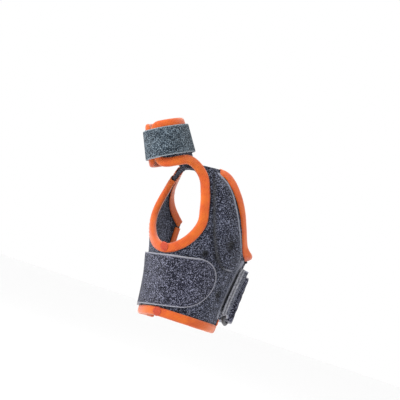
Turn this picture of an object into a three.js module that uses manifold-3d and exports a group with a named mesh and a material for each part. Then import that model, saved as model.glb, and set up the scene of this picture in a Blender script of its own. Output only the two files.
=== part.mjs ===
// A short thumb spica splint, in millimetres, in the shape it has when it is worn on a right hand.
// +Z runs from the wrist to the fingers, +X points out of the back of the hand and -Y out of the
// thumb side. The origin is the middle of the wrist opening, level with the splint's lower edge.
// Every cloth piece is laid out on one of two forms, the hand or the thumb, by an angle round the
// form, a height along it and an offset out from the skin.
import * as THREE from "three";
import { mergeVertices } from "three/addons/utils/BufferGeometryUtils.js";
import Module from "manifold-3d";

const wasm = await Module();
wasm.setup();

// Sizes of the hand that the splint is made for
const wristThickness = 45;
const wristBreadth = 59;
const splintHeight = 104; // wrist edge to the crest between thumb and forefinger
const thumbRadius = 10.8; // at the middle of the collar
const thumbTaper = 0.08; // change of the thumb's radius for each mm along it

// Cloth and tape
const laminate = 2.5; // foam faced with loop velour
const collarLaminate = 1.8; // thinner round the thumb
const tapeWidth = 5.6;
const tapeThickness = 1;
const seam = 0.3; // gap that pieces keep where they meet
const strapThickness = 2;
const strapWidth = 33;
const thumbStrapThickness = 1.2;
const thumbStrapWidth = 18.2;
const thumbStrapHeight = 13.9; // of its middle, above the collar's lower edge
const thumbStrapEnd = -146;
const pocketHeight = 3;
const tackDiameter = 6.2;
const tackThickness = 0.7;

// Where the wrap ends, in degrees round the hand: 0 is its back, -90 its thumb side, -180 the palm
const dorsalEnd = 3;
const palmarEnd = -232;

// The ring that the wrist strap turns back through, and the tab that holds it
const ringAngle = 15;
const ringHeight = 26.5;
const ringOffset = 7.3; // of its middle plane, out from the skin
const ringBar = 3;
const ringSlot = 7;
const ringTilt = -4; // degrees that it leans in its own plane
const tabThickness = 1.4;
const tabWidth = 32;
const slotClearance = 0.8; // each side of the strap in the ring

// The thumb collar
const collarBase = new THREE.Vector3(-34, -35, splintHeight - 10.2);
const collarLean = 29; // degrees from the hand's axis towards the palm
const collarForward = 3; // degrees from the hand's axis towards the thumb side
const collarHeight = 28;
const collarDip = 2.2; // how far its lower edge sinks from its front end to the neck
const collarGapAngle = 212; // where its two ends meet
const collarGap = 3; // between the two ends, before their tapes
const neckFront = -26; // the neck's two edges, round the thumb
const neckBack = 78;
const neckFillet = 22; // degrees over which each edge turns into the collar's lower edge

// How far the skin swells past the wrist's own ellipse, in eight directions, at heights that are
// shares of the splint's height
const directions = ["back", "backUlnar", "ulnar", "palmUlnar", "palm", "thenar", "radial", "backRadial"];
const handSections = [
  { height: -0.1, swell: [1, 1.02, 1, 1.04, 1, 1.04, 1, 1.02] },
  { height: 0, swell: [1, 1.02, 1, 1.04, 1, 1.05, 1, 1.02] },
  { height: 0.2, swell: [1.07, 1.05, 1.05, 1.09, 1.1, 1.2, 1.06, 1.04] },
  { height: 0.4, swell: [1.19, 1.11, 1.15, 1.16, 1.26, 1.48, 1.16, 1.11] },
  { height: 0.6, swell: [1.3, 1.18, 1.26, 1.18, 1.44, 1.7, 1.24, 1.21] },
  { height: 0.78, swell: [1.3, 1.22, 1.34, 1.12, 1.3, 1.58, 1.2, 1.18] },
  { height: 0.92, swell: [1.2, 1.2, 1.36, 1.0, 1.06, 1.42, 1.08, 1.06] },
  { height: 1.0, swell: [1.1, 1.15, 1.3, 0.92, 0.96, 1.34, 0.9, 0.9] },
];

// The wrap's upper edge, over the knuckles and the crest and down across the palm
const upperEdge = [
  { angle: 12, height: 0.54 },
  { angle: 0, height: 0.545 },
  { angle: -19, height: 0.57 },
  { angle: -30, height: 0.625 },
  { angle: -38, height: 0.685 },
  { angle: -53, height: 0.81 },
  { angle: -65, height: 0.885 },
  { angle: -75, height: 0.928 },
  { angle: -88, height: 0.958 },
  { angle: -102, height: 0.965 },
  { angle: -116, height: 0.96 },
  { angle: -140, height: 0.95 },
  { angle: -156, height: 0.92 },
  { angle: -178, height: 0.83 },
  { angle: -205, height: 0.71 },
  { angle: -240, height: 0.6 },
];

// The rim of the thumb hole in the wrap, once round it from its thumb side
const thumbHole = [
  { angle: -102.3, height: 0.62 },
  { angle: -104.8, height: 0.7 },
  { angle: -110.3, height: 0.8 },
  { angle: -116, height: 0.865 },
  { angle: -127, height: 0.9 },
  { angle: -146, height: 0.878 },
  { angle: -160, height: 0.775 },
  { angle: -165, height: 0.65 },
  { angle: -161, height: 0.56 },
  { angle: -152, height: 0.488 },
  { angle: -140, height: 0.438 },
  { angle: -127, height: 0.43 },
  { angle: -115, height: 0.474 },
  { angle: -106.5, height: 0.542 },
];

// Where the collar's neck leaves the wrap's upper edge, by the angle round the thumb
const neckRoot = [
  { round: -60, angle: -106, height: 0.935 },
  { round: -30, angle: -112, height: 0.945 },
  { round: 0, angle: -120, height: 0.95 },
  { round: 30, angle: -129, height: 0.95 },
  { round: 60, angle: -138, height: 0.95 },
  { round: 100, angle: -149, height: 0.938 },
];

// The stay's pocket: its middle line, and its half width in mm
const pocketLine = [
  { angle: -52, height: 0.432, halfWidth: 2.5 },
  { angle: -53, height: 0.447, halfWidth: 5.4 },
  { angle: -55.5, height: 0.475, halfWidth: 7 },
  { angle: -60, height: 0.53, halfWidth: 7.5 },
  { angle: -70.5, height: 0.66, halfWidth: 7.5 },
  { angle: -81, height: 0.78, halfWidth: 5.9 },
  { angle: -88, height: 0.84, halfWidth: 4.2 },
  { angle: -91, height: 0.865, halfWidth: 3 },
  { angle: -92.5, height: 0.88, halfWidth: 1.8 },
];

// The wrist strap's middle, from where it is sewn on the palm side to the ring
const strapUnder = [
  { angle: -216, height: 0.185, offset: 5.1 },
  { angle: -226, height: 0.19, offset: 5.1 },
  { angle: -236, height: 0.195, offset: 5.1 },
  { angle: -250, height: 0.205, offset: 2.6 },
  { angle: -266, height: 0.215, offset: 1.5 },
  { angle: -290, height: 0.225, offset: 1.5 },
  { angle: -312, height: 0.235, offset: 1.9 },
];
// and from the ring back round the palm to its loose end on the thumb side
const strapOver = [
  { angle: -312, height: 0.235, offset: 6.4 },
  { angle: -290, height: 0.225, offset: 4.1 },
  { angle: -266, height: 0.215, offset: 4.1 },
  { angle: -250, height: 0.205, offset: 5.4 },
  { angle: -236, height: 0.195, offset: 7.3 },
  { angle: -224, height: 0.19, offset: 7.4 },
  { angle: -210, height: 0.185, offset: 7 },
  { angle: -194, height: 0.185, offset: 5 },
  { angle: -174, height: 0.19, offset: 5.1 },
  { angle: -150, height: 0.2, offset: 5.2 },
  { angle: -122, height: 0.225, offset: 5.1 },
  { angle: -98, height: 0.25, offset: 3.9 },
  { angle: -78, height: 0.274, offset: 3.85 },
  { angle: -57, height: 0.297, offset: 3.85 },
];

const degrees = THREE.MathUtils.degToRad;

// A smooth curve through a table's rows: columns are looked up by the first one, which rises or falls
function column(table, key, name, at) {
  const rising = table[table.length - 1][key] > table[0][key];
  let i = 0;
  while (i < table.length - 2 && (rising ? at > table[i + 1][key] : at < table[i + 1][key])) i++;
  const [a, b] = [table[i], table[i + 1]];
  const before = table[Math.max(i - 1, 0)];
  const after = table[Math.min(i + 2, table.length - 1)];
  const span = b[key] - a[key];
  const t = THREE.MathUtils.clamp((at - a[key]) / span, 0, 1);
  const slopeA = ((b[name] - before[name]) / (b[key] - before[key])) * span;
  const slopeB = ((after[name] - a[name]) / (after[key] - a[key])) * span;
  const t2 = t * t;
  const t3 = t2 * t;
  return (
    (2 * t3 - 3 * t2 + 1) * a[name] + (t3 - 2 * t2 + t) * slopeA + (3 * t2 - 2 * t3) * b[name] + (t3 - t2) * slopeB
  );
}

const swellTable = handSections.map(({ height, swell }) =>
  Object.fromEntries([["height", height], ...directions.map((name, k) => [name, swell[k]])]),
);
const swellAt = (direction, share) => column(swellTable, "height", directions[direction], share);

// The skin of the hand at an angle round it (degrees) and a height (mm)
function handSkin(angle, height) {
  const share = height / splintHeight;
  const turn = (((angle % 360) + 360) % 360) / 45;
  const near = Math.floor(turn);
  const t = turn - near;
  const swell = [-1, 0, 1, 2].map((k) => swellAt((near + k + 8) % 8, share));
  const [p, q, r, s] = swell;
  const bulge = q + 0.5 * t * (r - p + t * (2 * p - 5 * q + 4 * r - s + t * (3 * (q - r) + s - p)));
  const a = degrees(angle);
  return new THREE.Vector3(
    (wristThickness / 2) * bulge * Math.cos(a),
    (wristBreadth / 2) * bulge * Math.sin(a),
    height,
  );
}

// A smooth step from 0 to 1
const ease = (x) => {
  const t = THREE.MathUtils.clamp(x, 0, 1);
  return t * t * (3 - 2 * t);
};

// The thumb: its axis, and its skin at an angle round it and a height above the collar's lower edge.
// Below that edge the surface runs down to the rim of the hole, as the collar's neck does.
const thumbAxis = new THREE.Vector3(
  -Math.sin(degrees(collarLean)),
  -Math.sin(degrees(collarForward)),
  Math.cos(degrees(collarLean)),
).normalize();
const thumbAcross = new THREE.Vector3(0, 1, 0).cross(thumbAxis).normalize();
const thumbBehind = thumbAxis.clone().cross(thumbAcross).normalize();
const neckSeam = 1.8; // of that height, left clear at the wrap
const neckBend = 4; // height above the collar's edge at which the neck bends away
const collarSkirt = 2.6; // how far the collar keeps its round shape below its edge
const neckLength = 10; // height that stands for the neck, from the rim to the collar

function thumbSkin(round, height) {
  const a = degrees(round);
  const out = thumbAcross.clone().multiplyScalar(Math.cos(a)).addScaledVector(thumbBehind, Math.sin(a));
  const onCollar = (h) =>
    collarBase
      .clone()
      .addScaledVector(thumbAxis, h)
      .addScaledVector(out, thumbRadius + thumbTaper * (collarHeight / 2 - h));
  // The neck bends away above the collar's edge; elsewhere the collar stays round a little below it
  const onNeck = ease((round + 28) / 24) * (1 - ease((round - 70) / 20));
  const skirt = collarSkirt - (collarSkirt + neckBend) * onNeck;
  if (height >= -skirt) return onCollar(height);
  const r = THREE.MathUtils.clamp(round, neckRoot[0].round, neckRoot[neckRoot.length - 1].round);
  const rootAngle = column(neckRoot, "round", "angle", r);
  const rootHeight = column(neckRoot, "round", "height", r) * splintHeight;
  const root = handSkin(rootAngle, rootHeight);
  const top = onCollar(-skirt);
  const span = root.distanceTo(top);
  const s = 1 + (height + skirt) / (neckLength - skirt);
  const up = top.clone().sub(root).normalize();
  const leave = new THREE.Vector3(0, 0, 1).add(up).normalize().multiplyScalar(span);
  const arrive = thumbAxis.clone().add(up).normalize().multiplyScalar(span);
  const s2 = s * s;
  const s3 = s2 * s;
  return root
    .multiplyScalar(2 * s3 - 3 * s2 + 1)
    .addScaledVector(leave, s3 - 2 * s2 + s)
    .addScaledVector(top, 3 * s2 - 2 * s3)
    .addScaledVector(arrive, s3 - s2);
}

// A form gives the point that lies a stated offset out from its skin
function makeForm(skinAt, outwardTurn) {
  const fineAngle = 0.5;
  const fineHeight = 0.25;
  const slopes = (u, v) => ({
    byAngle: skinAt(u + fineAngle, v).sub(skinAt(u - fineAngle, v)).divideScalar(2 * fineAngle),
    byHeight: skinAt(u, v + fineHeight).sub(skinAt(u, v - fineHeight)).divideScalar(2 * fineHeight),
  });
  const normal = (u, v) => {
    const { byAngle, byHeight } = slopes(u, v);
    return byAngle.cross(byHeight).multiplyScalar(outwardTurn).normalize();
  };
  const at = (u, v, offset) => skinAt(u, v).addScaledVector(normal(u, v), offset);
  // The place reached from (u, v) by a move in space, kept on the skin
  const moved = (u, v, move) => {
    const goal = skinAt(u, v).add(move);
    let place = [u, v];
    for (let pass = 0; pass < 3; pass++) {
      const left = goal.clone().sub(skinAt(...place));
      const { byAngle, byHeight } = slopes(...place);
      const aa = byAngle.dot(byAngle);
      const ah = byAngle.dot(byHeight);
      const hh = byHeight.dot(byHeight);
      const ma = left.dot(byAngle);
      const mh = left.dot(byHeight);
      const size = aa * hh - ah * ah;
      place = [place[0] + (ma * hh - mh * ah) / size, place[1] + (mh * aa - ma * ah) / size];
    }
    return place;
  };
  return { skinAt, normal, at, moved };
}
const hand = makeForm(handSkin, 1);
const thumb = makeForm(thumbSkin, 1);

// The triangles that join rings in order; a ring past the last is the first again
function openIndex(count, size, around = count) {
  const index = [];
  for (let i = 0; i < count - 1; i++) {
    const a = i * size;
    const b = ((i + 1) % around) * size;
    for (let j = 0; j < size; j++) {
      const k = (j + 1) % size;
      index.push(a + j, b + j, b + k, a + j, b + k, a + k);
    }
  }
  return index;
}

// A closed geometry from rings of points: every ring has as many points, each ring is closed on
// itself, and the rings are joined in order, with caps or as a loop
function solidFromRings(rings, loop = false) {
  const size = rings[0].length;
  const position = rings.flat().flatMap((p) => [p.x, p.y, p.z]);
  const index = openIndex(loop ? rings.length + 1 : rings.length, size, rings.length);
  if (!loop) {
    // Each cap is a strip between the ring's two halves
    const last = (rings.length - 1) * size;
    for (let j = 0; j < size / 2 - 1; j++) {
      const [p, q, r, s] = [j, j + 1, size - 2 - j, size - 1 - j];
      index.push(p, q, r, p, r, s);
      index.push(last + p, last + r, last + q, last + p, last + s, last + r);
    }
  }
  const geometry = new THREE.BufferGeometry();
  geometry.setAttribute("position", new THREE.Float32BufferAttribute(position, 3));
  geometry.setIndex(index);
  return facingOut(geometry);
}

function volumeOf(geometry) {
  const p = geometry.getAttribute("position");
  const index = geometry.index.array;
  const [a, b, c] = [new THREE.Vector3(), new THREE.Vector3(), new THREE.Vector3()];
  let sum = 0;
  for (let i = 0; i < index.length; i += 3) {
    a.fromBufferAttribute(p, index[i]);
    b.fromBufferAttribute(p, index[i + 1]);
    c.fromBufferAttribute(p, index[i + 2]);
    sum += a.dot(b.cross(c)) / 6;
  }
  return sum;
}

function facingOut(geometry) {
  if (volumeOf(geometry) < 0) geometry.index.array.reverse();
  return geometry;
}

// Cloth between two edges: column i of count has its place from place(share), which gives the
// form's angle and the two ends' heights; low and high are the offsets of its faces
function cloth({ columns, rows, place, loop = false }) {
  const rings = [];
  const steps = loop ? columns : columns + 1;
  for (let i = 0; i < steps; i++) {
    const ring = [];
    for (let side = 0; side < 2; side++) {
      for (let j = 0; j <= rows; j++) ring.push(place(i / columns, side ? 1 - j / rows : j / rows, side));
    }
    rings.push(ring);
  }
  return solidFromRings(rings, loop);
}

// Tape folded over an edge. The path gives the edge's angle and height by share; the cloth lies to
// the side that inward (1 or -1) turns to
function edgeTape({ form, path, steps, inward, over = laminate, loop = false, width = tapeWidth }) {
  const face = over + seam;
  const rim = seam + tapeThickness;
  const reach = width - rim;
  // Distance in from the cloth's edge and offset from the skin: the fold's outside, then its inside
  const section = [
    [reach, face + tapeThickness],
    [-rim, face + tapeThickness],
    [-rim, -rim],
    [reach, -rim],
    [reach, -seam],
    [-seam, -seam],
    [-seam, face],
    [reach, face],
  ];
  const rings = [];
  const inside = (x) => (loop ? ((x % 1) + 1) % 1 : THREE.MathUtils.clamp(x, 0, 1));
  for (let i = 0; i < (loop ? steps : steps + 1); i++) {
    const share = i / steps;
    const [u, v] = path(share);
    const ahead = form.skinAt(...path(inside(share + 0.004)));
    const along = ahead.sub(form.skinAt(...path(inside(share - 0.004)))).normalize();
    const into = form.normal(u, v).cross(along).normalize().multiplyScalar(inward);
    rings.push(
      section.map(([depth, offset]) => {
        const [a, h] = form.moved(u, v, into.clone().multiplyScalar(depth));
        return form.at(a, h, offset);
      }),
    );
  }
  return solidFromRings(rings, loop);
}

// A strap from its middle surface: places are functions of the distance across it (mm)
function band({ places, halfWidth, thickness, columns, rows, tipRadius = 0 }) {
  const curves = new Map();
  const curveAt = (across) => {
    const key = across.toFixed(3);
    if (!curves.has(key)) {
      curves.set(key, new THREE.CatmullRomCurve3(places.map((place) => place(across)), false, "centripetal"));
    }
    return curves.get(key);
  };
  const length = curveAt(0).getLength();
  const straight = 1 - tipRadius / length;
  const stations = Array.from({ length: columns + 1 }, (_, i) => ({ at: (i / columns) * straight, width: 1 }));
  if (tipRadius) {
    for (const turn of [15, 30, 44, 57, 69, 80]) {
      const at = straight + (1 - straight) * Math.sin(degrees(turn));
      stations.push({ at, width: Math.cos(degrees(turn)) });
    }
  }
  const middle = stations.map(({ at, width }) => {
    const t = curveAt(0).getUtoTmapping(at);
    return Array.from({ length: rows + 1 }, (_, j) => curveAt(halfWidth * width * ((2 * j) / rows - 1)).getPoint(t));
  });
  const faces = middle.map((row, i) =>
    row.map((p, j) => {
      const along = middle[Math.min(i + 1, middle.length - 1)][j].clone().sub(middle[Math.max(i - 1, 0)][j]);
      const across = row[Math.min(j + 1, rows)].clone().sub(row[Math.max(j - 1, 0)]);
      const normal = along.cross(across).normalize().multiplyScalar(thickness / 2);
      return [p.clone().sub(normal), p.clone().add(normal)];
    }),
  );
  return solidFromRings(faces.map((row) => [...row.map((f) => f[0]), ...row.map((f) => f[1]).reverse()]));
}

const solid = (geometry) => {
  const g = new THREE.BufferGeometry();
  g.setAttribute("position", geometry.getAttribute("position").clone());
  if (geometry.index) g.setIndex(geometry.index.clone());
  const merged = mergeVertices(g, 1e-4);
  return new wasm.Manifold(
    new wasm.Mesh({
      numProp: 3,
      vertProperties: new Float32Array(merged.getAttribute("position").array),
      triVerts: new Uint32Array(merged.index.array),
    }),
  );
};

const geometryOf = (manifold) => {
  const mesh = manifold.getMesh();
  const g = new THREE.BufferGeometry();
  g.setAttribute("position", new THREE.Float32BufferAttribute(mesh.vertProperties, mesh.numProp));
  g.setIndex(Array.from(mesh.triVerts));
  return g;
};

// The rim of the thumb hole as a closed curve over the form: angle, height
const holeCurve = new THREE.CatmullRomCurve3(
  thumbHole.map((p) => new THREE.Vector3(p.angle * 0.6, p.height * splintHeight, 0)),
  true,
  "centripetal",
);
const holeRim = (share) => {
  const p = holeCurve.getPointAt(((share % 1) + 1) % 1);
  return [p.x / 0.6, p.y];
};

const upperEdgeAt = (angle) => column(upperEdge, "angle", "height", angle) * splintHeight;

// A plug through the thumb hole, from one offset to another
function holePlug(from, to) {
  const around = 44;
  const across = 5;
  const middle = [-134, 0.65 * splintHeight];
  const rings = [];
  for (const offset of [from, to]) {
    for (let i = 0; i <= across; i++) {
      const share = Math.max(offset === from ? i / across : 1 - i / across, 0.03);
      rings.push(
        Array.from({ length: around }, (_, j) => {
          const [u, v] = holeRim(j / around);
          return hand.at(middle[0] + (u - middle[0]) * share, middle[1] + (v - middle[1]) * share, offset);
        }),
      );
    }
  }
  return solidFromRings(rings);
}

// The wrap: one sheet of laminate round the hand, open on the little finger's side
const wrapColumns = 54;
const rimDepth = seam + tapeThickness; // the tape stands this far past the cloth
function wrapGeometry() {
  const endStep = THREE.MathUtils.radToDeg(rimDepth / 28);
  const sheet = cloth({
    columns: wrapColumns,
    rows: 11,
    place: (x, y, side) => {
      const angle = THREE.MathUtils.lerp(dorsalEnd - endStep, palmarEnd + endStep, x);
      const closer = THREE.MathUtils.lerp(y, (1 - Math.cos(Math.PI * y)) / 2, 0.6); // short rows at the edges
      return hand.at(angle, THREE.MathUtils.lerp(rimDepth, upperEdgeAt(angle) - rimDepth, closer), side ? laminate : 0);
    },
  });
  return geometryOf(solid(sheet).subtract(solid(holePlug(-9, 14))));
}

const holeTapeEnds = [0.4, 1.13]; // shares of the way round its rim

// The collar's lower edge dips to the rim of the hole between the neck's two edges
const collarSink = (round) => collarDip * ease((round + 150) / 58) * (1 - ease((round + 20) / 60));
function collarLower(round) {
  const front = ease((round - neckFront) / neckFillet);
  const back = ease((neckBack - round) / neckFillet);
  const neck = Math.min(front, back);
  return rimDepth - collarSink(round) * (1 - neck) - (neckLength - neckSeam + rimDepth) * neck;
}
const collarStart = collarGapAngle - 360 + THREE.MathUtils.radToDeg(collarGap / 2 / thumbRadius);
const collarEnd = collarGapAngle - THREE.MathUtils.radToDeg(collarGap / 2 / thumbRadius);

const collarColumns = 64;
function collarGeometry() {
  return cloth({
    columns: collarColumns,
    rows: 5,
    place: (x, y, side) => {
      const round = THREE.MathUtils.lerp(collarStart, collarEnd, x);
      const height = THREE.MathUtils.lerp(collarLower(round), collarHeight - rimDepth, y);
      return thumb.at(round, height, side ? collarLaminate : 0);
    },
  });
}

// Rings joined in order, with a fan over the first and the last
function capFan(rings) {
  const geometry = solidFromRings(rings, true);
  const size = rings[0].length;
  const joined = (rings.length - 1) * size * 6; // leaves out the join from the last ring to the first
  const position = Array.from(geometry.getAttribute("position").array);
  const index = Array.from(openIndex(rings.length, size)).slice(0, joined);
  for (const [start, turned] of [[0, false], [(rings.length - 1) * size, true]]) {
    const centre = rings[start / size].reduce((sum, p) => sum.add(p), new THREE.Vector3()).divideScalar(size);
    const c = position.length / 3;
    position.push(centre.x, centre.y, centre.z);
    for (let j = 0; j < size; j++) {
      const k = (j + 1) % size;
      index.push(c, start + (turned ? k : j), start + (turned ? j : k));
    }
  }
  const closed = new THREE.BufferGeometry();
  closed.setAttribute("position", new THREE.Float32BufferAttribute(position, 3));
  closed.setIndex(index);
  return facingOut(closed);
}

// The pocket: a low pad with a bevelled edge
function pocketGeometry() {
  const bevel = 1;
  const count = 22;
  const rings = [];
  const last = pocketLine.length - 1;
  for (let i = 0; i <= count; i++) {
    const at = THREE.MathUtils.lerp(pocketLine[0].height, pocketLine[last].height, i / count);
    const angle = column(pocketLine, "height", "angle", at);
    const half = column(pocketLine, "height", "halfWidth", at);
    const v = at * splintHeight;
    const next = THREE.MathUtils.clamp(at + 0.01, pocketLine[0].height, pocketLine[last].height);
    const prior = THREE.MathUtils.clamp(at - 0.01, pocketLine[0].height, pocketLine[last].height);
    const along = hand
      .skinAt(column(pocketLine, "height", "angle", next), next * splintHeight)
      .sub(hand.skinAt(column(pocketLine, "height", "angle", prior), prior * splintHeight));
    const sideways = hand.normal(angle, v).cross(along).normalize();
    const low = laminate + seam;
    const atEnd = i === 0 || i === count;
    const high = low + (atEnd ? pocketHeight - bevel : pocketHeight);
    const top = Math.max(half - bevel, half * 0.5);
    const section = [
      [-half, low + 0.2],
      [-half, high - bevel * 0.8],
      [-top, high],
      [0, high],
      [top, high],
      [half, high - bevel * 0.8],
      [half, low + 0.2],
      [top, low],
      [0, low],
      [-top, low],
    ];
    rings.push(
      section.map(([across, offset]) => {
        const [a, h] = hand.moved(angle, v, sideways.clone().multiplyScalar(across));
        return hand.at(a, h, offset);
      }),
    );
  }
  return capFan(rings);
}

// The ring lies in a plane beside the hand: u across its slot, w along it, n out from the hand
const ringPlace = hand.at(ringAngle, ringHeight, ringOffset);
const ringOut = hand.normal(ringAngle, ringHeight);
const ringAlong = new THREE.Vector3(0, 0, 1)
  .addScaledVector(ringOut, -ringOut.z)
  .normalize()
  .applyAxisAngle(ringOut, degrees(ringTilt));
const ringAcross = ringAlong.clone().cross(ringOut).normalize();
const inRing = (u, n, w) =>
  ringPlace.clone().addScaledVector(ringAcross, u).addScaledVector(ringOut, n).addScaledVector(ringAlong, w);
const barOffset = (ringSlot + ringBar) / 2;
const ringHalfLength = strapWidth / 2 + slotClearance + ringBar / 2;

function ringGeometry() {
  const corner = 3;
  const centres = [
    [barOffset - corner, ringHalfLength - corner, 0],
    [corner - barOffset, ringHalfLength - corner, 90],
    [corner - barOffset, corner - ringHalfLength, 180],
    [barOffset - corner, corner - ringHalfLength, 270],
  ];
  const path = centres.flatMap(([u, w, first]) =>
    [0, 30, 60, 90].map((turn) => {
      const a = degrees(first + turn);
      return { u: u + corner * Math.cos(a), w: w + corner * Math.sin(a), out: a };
    }),
  );
  const sides = 8;
  const rings = path.map(({ u, w, out }) =>
    Array.from({ length: sides }, (_, k) => {
      const a = degrees((360 * (k + 0.5)) / sides);
      const r = ringBar / 2;
      return inRing(u + r * Math.cos(a) * Math.cos(out), r * Math.sin(a), w + r * Math.cos(a) * Math.sin(out));
    }),
  );
  return solidFromRings(rings, true);
}

// A turn of cloth round a bar of the ring, as places for a band: from below it to above it
const turnRound = (bar, side, radius) =>
  [-90, -50, 0, 50, 90].map((turn) => (across) => {
    const a = degrees(turn);
    return inRing(bar + side * radius * Math.cos(a), radius * Math.sin(a), across);
  });

const tabRadius = ringBar / 2 + seam + tabThickness / 2;
const strapRadius = ringBar / 2 + 2 * seam + strapThickness / 2;
const onHand = ({ angle, height, offset }) => (across) => hand.at(angle, height * splintHeight + across, offset);

function tabGeometry() {
  const low = laminate + 4 * seam + tapeThickness + tabThickness / 2;
  const legs = [-20, -12, -3].map((angle) => ({ angle, height: (ringHeight + 4) / splintHeight }));
  const under = legs.map((leg) => onHand({ ...leg, offset: low }));
  const over = legs.map((leg) => onHand({ ...leg, offset: low + tabThickness + seam })).reverse();
  return band({
    places: [...under, ...turnRound(-barOffset, 1, tabRadius), ...over],
    halfWidth: tabWidth / 2,
    thickness: tabThickness,
    columns: 26,
    rows: 3,
  });
}

function wristStrapGeometry() {
  return band({
    places: [
      ...strapUnder.map(onHand),
      ...turnRound(barOffset, -1, strapRadius),
      ...strapOver.map(onHand),
    ],
    halfWidth: strapWidth / 2,
    thickness: strapThickness,
    columns: 78,
    rows: 4,
    tipRadius: 14,
  });
}

function thumbStrapGeometry() {
  const lap = 30; // degrees that its loose end lies over its start
  const first = thumbStrapEnd + lap;
  const low = collarLaminate + 2 * seam + tapeThickness + thumbStrapThickness / 2;
  const turn = 360 + lap;
  const places = [];
  for (let i = 0; i <= 24; i++) {
    const round = first - (turn * i) / 24;
    const rise = (thumbStrapThickness + seam) * ease((turn * i) / 24 / 50 - (turn - lap - 62) / 50);
    places.push((across) => thumb.at(round, thumbStrapHeight + across, low + rise));
  }
  return band({
    places,
    halfWidth: thumbStrapWidth / 2,
    thickness: thumbStrapThickness,
    columns: 52,
    rows: 2,
  });
}

// A round tack of stitches on the tape at an angle and height
function tackGeometry(angle, height) {
  const offset = laminate + 2 * seam + tapeThickness + tackThickness / 2;
  const disc = new THREE.CylinderGeometry(tackDiameter / 2, tackDiameter / 2, tackThickness, 20);
  disc.deleteAttribute("uv");
  disc.applyQuaternion(
    new THREE.Quaternion().setFromUnitVectors(new THREE.Vector3(0, 1, 0), hand.normal(angle, height)),
  );
  const at = hand.at(angle, height, offset);
  return disc.translate(at.x, at.y, at.z);
}

// Tape paths, all given by the cloth's own edge
const wrapEndStep = THREE.MathUtils.radToDeg(rimDepth / 28);
const backEdge = dorsalEnd - wrapEndStep;
const palmEdge = palmarEnd + wrapEndStep;
const between = THREE.MathUtils.lerp;
// The hole's tape starts and ends under the neck
const holeTapeRun = (x) => holeRim(between(holeTapeEnds[0], holeTapeEnds[1], 1 - x));
const wristEdge = (x) => [between(backEdge, palmEdge, x), rimDepth];
// The upper edge is bound in two runs, between columns of the wrap; the neck stands between them
const upperRun = (from, to) => (x) => {
  const angle = between(backEdge, palmEdge, between(from, to, x) / wrapColumns);
  return [angle, upperEdgeAt(angle) - rimDepth];
};
const endEdge = (angle) => (x) => {
  const clear = tapeWidth + seam;
  return [angle, between(clear, upperEdgeAt(angle) - clear, x)];
};
const collarTopEdge = (x) => [between(collarStart, collarEnd, x), collarHeight - rimDepth];
const collarEndEdge = (round) => (x) => [round, between(tapeWidth + seam, collarHeight - tapeWidth - seam, x)];
const collarLowRun = (from, to) => (x) => {
  const round = between(collarStart, collarEnd, between(from, to, x) / collarColumns);
  return [round, rimDepth - collarSink(round)];
};

// Tape that runs on from the hole's own, over the front of the neck to the collar's lower edge
function neckTapeGeometry() {
  const offset = laminate + seam + tapeThickness / 2;
  const onTape = tapeWidth / 2 - rimDepth;
  const end = holeTapeEnds[1];
  const rim = holeRim(end);
  const rimNormal = hand.normal(...rim);
  const rimAlong = hand.skinAt(...holeRim(end + 0.01)).sub(hand.skinAt(...rim)).normalize();
  const rimAcross = rimAlong.clone().cross(rimNormal).normalize();
  const start = hand.at(...rim, offset).addScaledVector(rimAcross, onTape).addScaledVector(rimAlong, 2 * seam);
  const round = neckFront - 8;
  const collarAcross = thumbAxis.clone();
  const collarAlong = thumb.skinAt(round - 1, 0).sub(thumb.skinAt(round, 0)).normalize();
  const onCollar = collarLaminate + 3 * seam + 1.5 * tapeThickness;
  const finish = thumb.at(round, onTape - collarSink(round), onCollar);
  const reach = start.distanceTo(finish);
  const places = [0, 0.2, 0.4, 0.6, 0.8, 1].map((s) => {
    const [s2, s3] = [s * s, s * s * s];
    const middle = start
      .clone()
      .multiplyScalar(2 * s3 - 3 * s2 + 1)
      .addScaledVector(rimAlong, (s3 - 2 * s2 + s) * reach)
      .addScaledVector(finish, 3 * s2 - 2 * s3)
      .addScaledVector(collarAlong, (s3 - s2) * reach);
    const side = rimAcross.clone().lerp(collarAcross, ease(s)).normalize();
    return (across) => middle.clone().addScaledVector(side, across);
  });
  return band({ places, halfWidth: tapeWidth / 2, thickness: tapeThickness, columns: 8, rows: 1 });
}

const parts = new THREE.Group();
function add(name, geometry, material) {
  geometry.computeVertexNormals();
  const mesh = new THREE.Mesh(geometry, material);
  mesh.name = name;
  parts.add(mesh);
}

const surface = (color, roughness) => new THREE.MeshStandardMaterial({ color, roughness, metalness: 0 });
const velour = surface(0x565b6b, 0.95);
const strapVelour = surface(0x6f6f7e, 0.95);
const thumbVelour = surface(0x5f737b, 0.95);
const orangeTape = surface(0xf0701e, 0.8);
const orangeThread = surface(0xdc4a16, 0.7);
const darkPlastic = surface(0x3a3a40, 0.5);

add("splint_body", wrapGeometry(), velour);
add("thumb_collar", collarGeometry(), velour);
add("stay_pocket", pocketGeometry(), velour);
add("wrist_strap", wristStrapGeometry(), strapVelour);
add("thumb_strap", thumbStrapGeometry(), thumbVelour);
add("ring_tab", tabGeometry(), velour);
add("strap_ring", ringGeometry(), darkPlastic);
add("hole_binding", edgeTape({ form: hand, path: holeTapeRun, steps: 36, inward: 1 }), orangeTape);
add("wrist_binding", edgeTape({ form: hand, path: wristEdge, steps: 27, inward: -1 }), orangeTape);
add("knuckle_binding", edgeTape({ form: hand, path: upperRun(0, 24), steps: 24, inward: 1 }), orangeTape);
add("palm_binding", edgeTape({ form: hand, path: upperRun(37, wrapColumns), steps: 17, inward: 1 }), orangeTape);
add("back_end_binding", edgeTape({ form: hand, path: endEdge(backEdge), steps: 7, inward: 1 }), orangeTape);
add("palm_end_binding", edgeTape({ form: hand, path: endEdge(palmEdge), steps: 7, inward: -1 }), orangeTape);
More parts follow.
